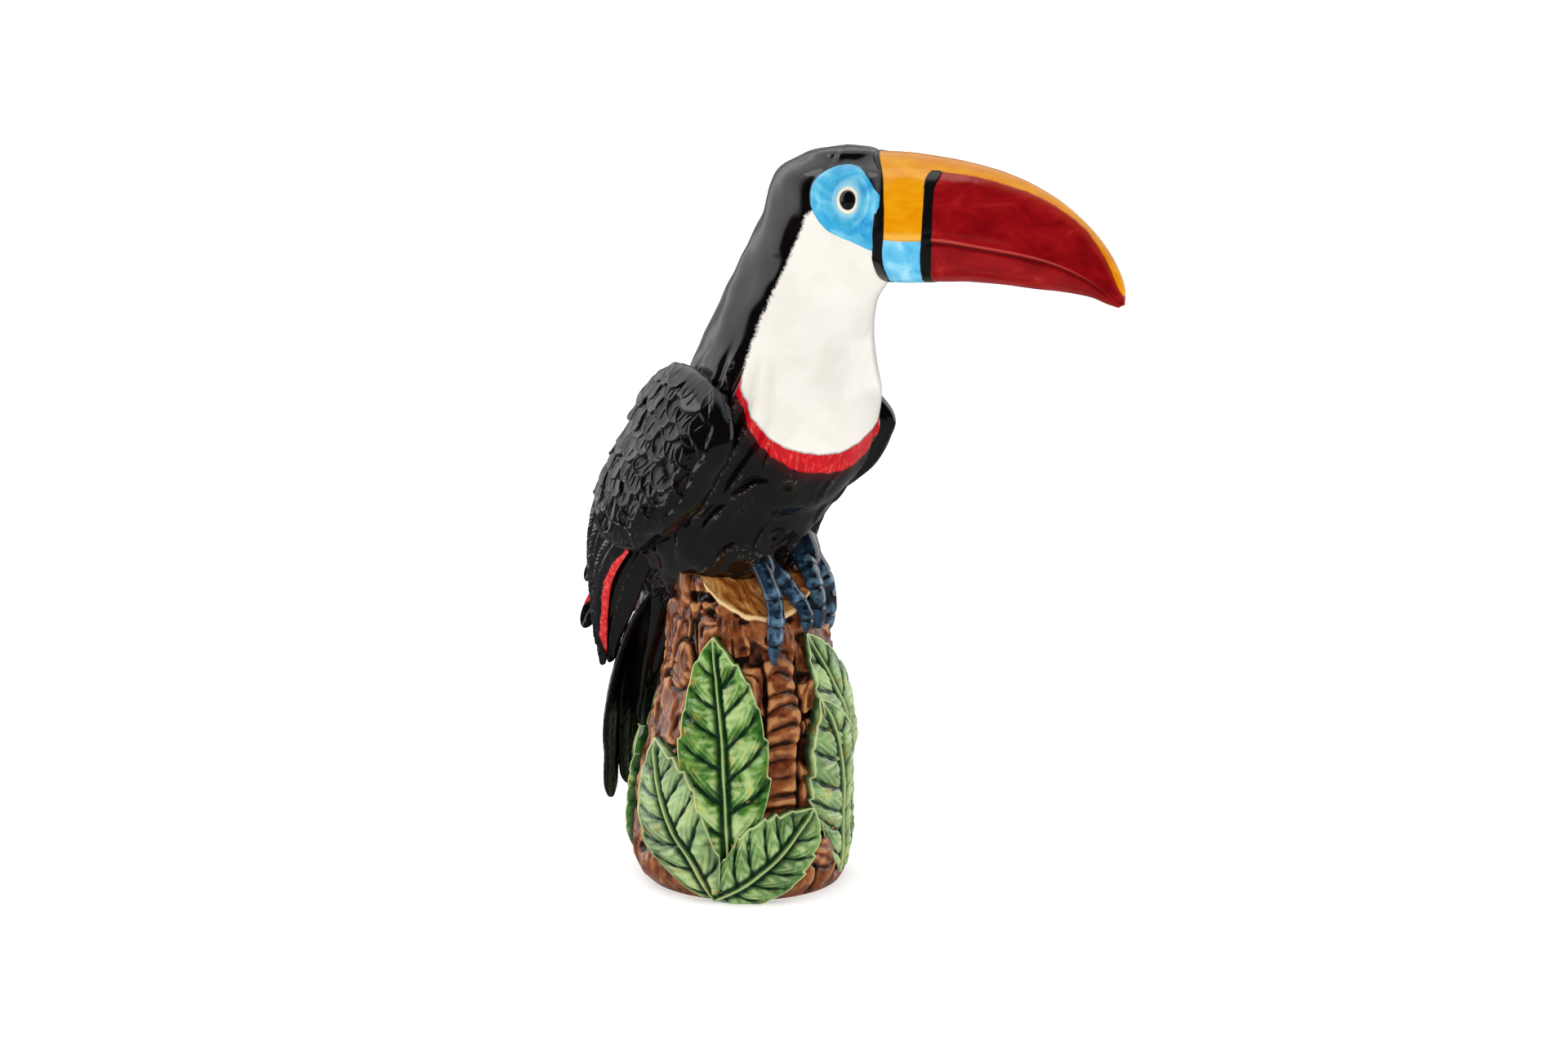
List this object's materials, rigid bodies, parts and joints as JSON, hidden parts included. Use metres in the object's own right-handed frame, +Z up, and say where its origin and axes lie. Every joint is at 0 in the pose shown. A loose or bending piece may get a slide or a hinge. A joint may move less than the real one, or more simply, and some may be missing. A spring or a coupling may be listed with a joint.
{
  "type": "bird figurine",
  "caption": "Glazed ceramic figurine of a toucan perched on a tree stump with leaf sprays, standing on an open hollow foot.",
  "frame": {"origin": "middle of the stump's foot, on the face that rests on the shelf", "axes": "+Z up, +X the way the bird's bill points, -Y the bird's right side"},
  "size_m": [0.3587, 0.1451, 0.4121],
  "materials": {
    "black_glaze": "gloss",
    "bill_glaze": "gloss",
    "foot_glaze": "gloss",
    "eye_glaze": "gloss",
    "bark_glaze": "gloss",
    "leaf_glaze": "gloss"
  },
  "bodies": {
    "root": {"back_leaf_centre": "leaf_glaze", "back_leaf_left": "leaf_glaze", "back_leaf_right": "leaf_glaze", "bill": "bill_glaze", "bird_shell": "black_glaze", "front_leaf_centre": "leaf_glaze", "front_leaf_left": "leaf_glaze", "front_leaf_right": "leaf_glaze", "left_eye": "eye_glaze", "left_flight_feathers": "black_glaze", "left_foot": "foot_glaze", "left_inner_toe": "foot_glaze", "left_outer_toe": "foot_glaze", "left_wing": "black_glaze", "right_eye": "eye_glaze", "right_flight_feathers": "black_glaze", "right_foot": "foot_glaze", "right_inner_toe": "foot_glaze", "right_outer_toe": "foot_glaze", "right_wing": "black_glaze", "side_leaf_centre": "leaf_glaze", "side_leaf_left": "leaf_glaze", "side_leaf_right": "leaf_glaze", "stump_shell": "bark_glaze", "tail_centre_feather": "black_glaze", "tail_left_feather": "black_glaze", "tail_right_feather": "black_glaze"}
  },
  "joints": []
}
